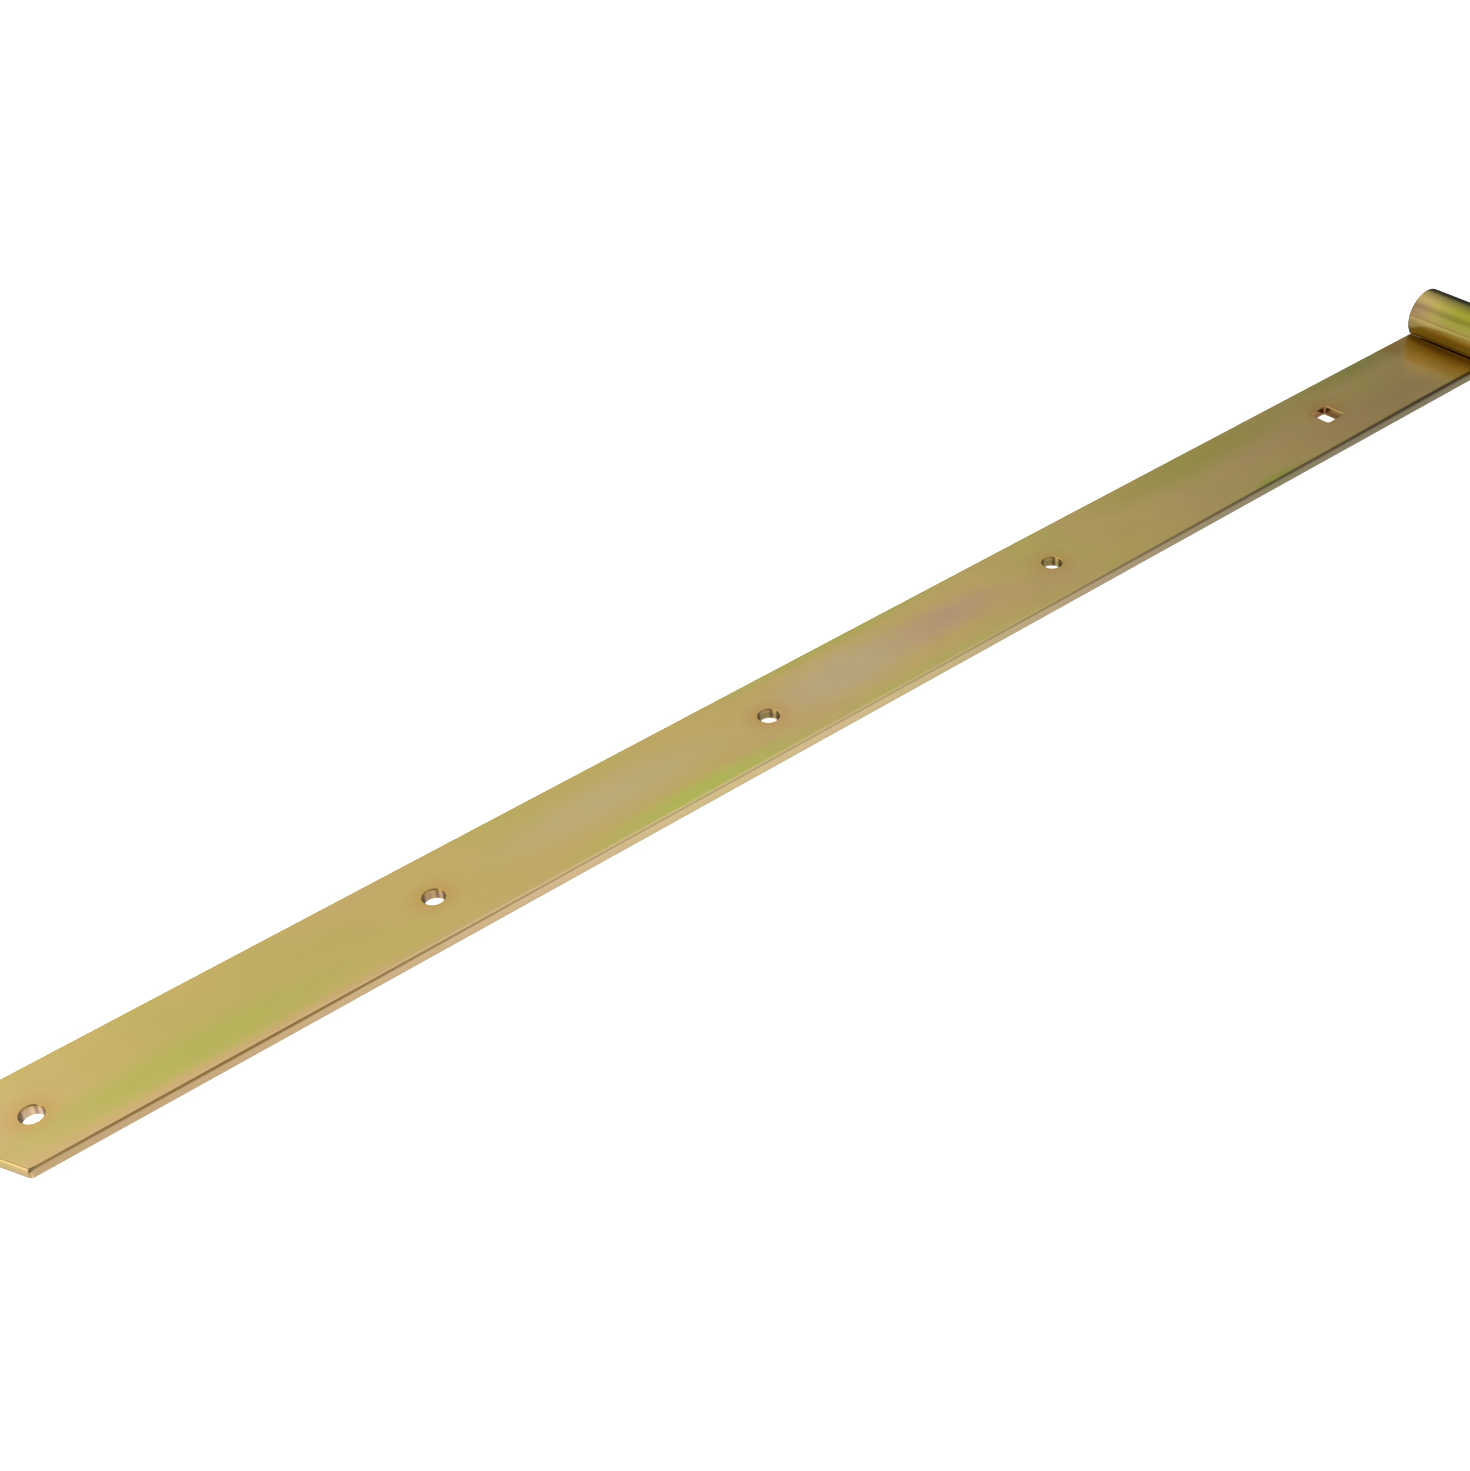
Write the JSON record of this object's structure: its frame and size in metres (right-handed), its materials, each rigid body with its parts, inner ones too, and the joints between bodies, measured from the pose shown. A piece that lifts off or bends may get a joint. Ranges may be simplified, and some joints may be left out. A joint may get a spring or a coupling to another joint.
{
  "type": "strap hinge",
  "caption": "Long flat steel strap with its end rolled into an eye, turning and lifting off on the riveted pin of a flush screw-on pintle plate.",
  "frame": {"origin": "on the strap's back face, straight below the eye's axis, midway across the strap's width", "axes": "+X from the strap's nose towards the pintle plate, +Y along the pin towards its free tip (up when fitted), +Z out of the gate's face"},
  "size_m": [0.7625, 0.0499, 0.022],
  "materials": {
    "strap_zinc": "satin yellow chromated zinc plate with soft green and rose tints",
    "plate_zinc": "satin yellow chromated zinc plate on pressed steel",
    "pin_zinc": "turned steel bar, yellow chromated zinc plate",
    "ring_zinc": "pressed steel ring, yellow chromated zinc plate"
  },
  "bodies": {
    "pintle": {"pintle_plate": "plate_zinc", "pintle_pin": "pin_zinc"},
    "ring": {"wear_ring": "ring_zinc"},
    "leaf": {"strap": "strap_zinc"}
  },
  "joints": [
    {"name": "swing", "type": "hinge", "parent": "pintle", "child": "ring", "pos_m": [0, 0, 0.011], "axis": [0, 1, 0], "range_deg": [0, 180]},
    {"name": "lift_off", "type": "slide", "parent": "ring", "child": "leaf", "axis": [0, 1, 0], "range_m": [0, 0.045]}
  ]
}
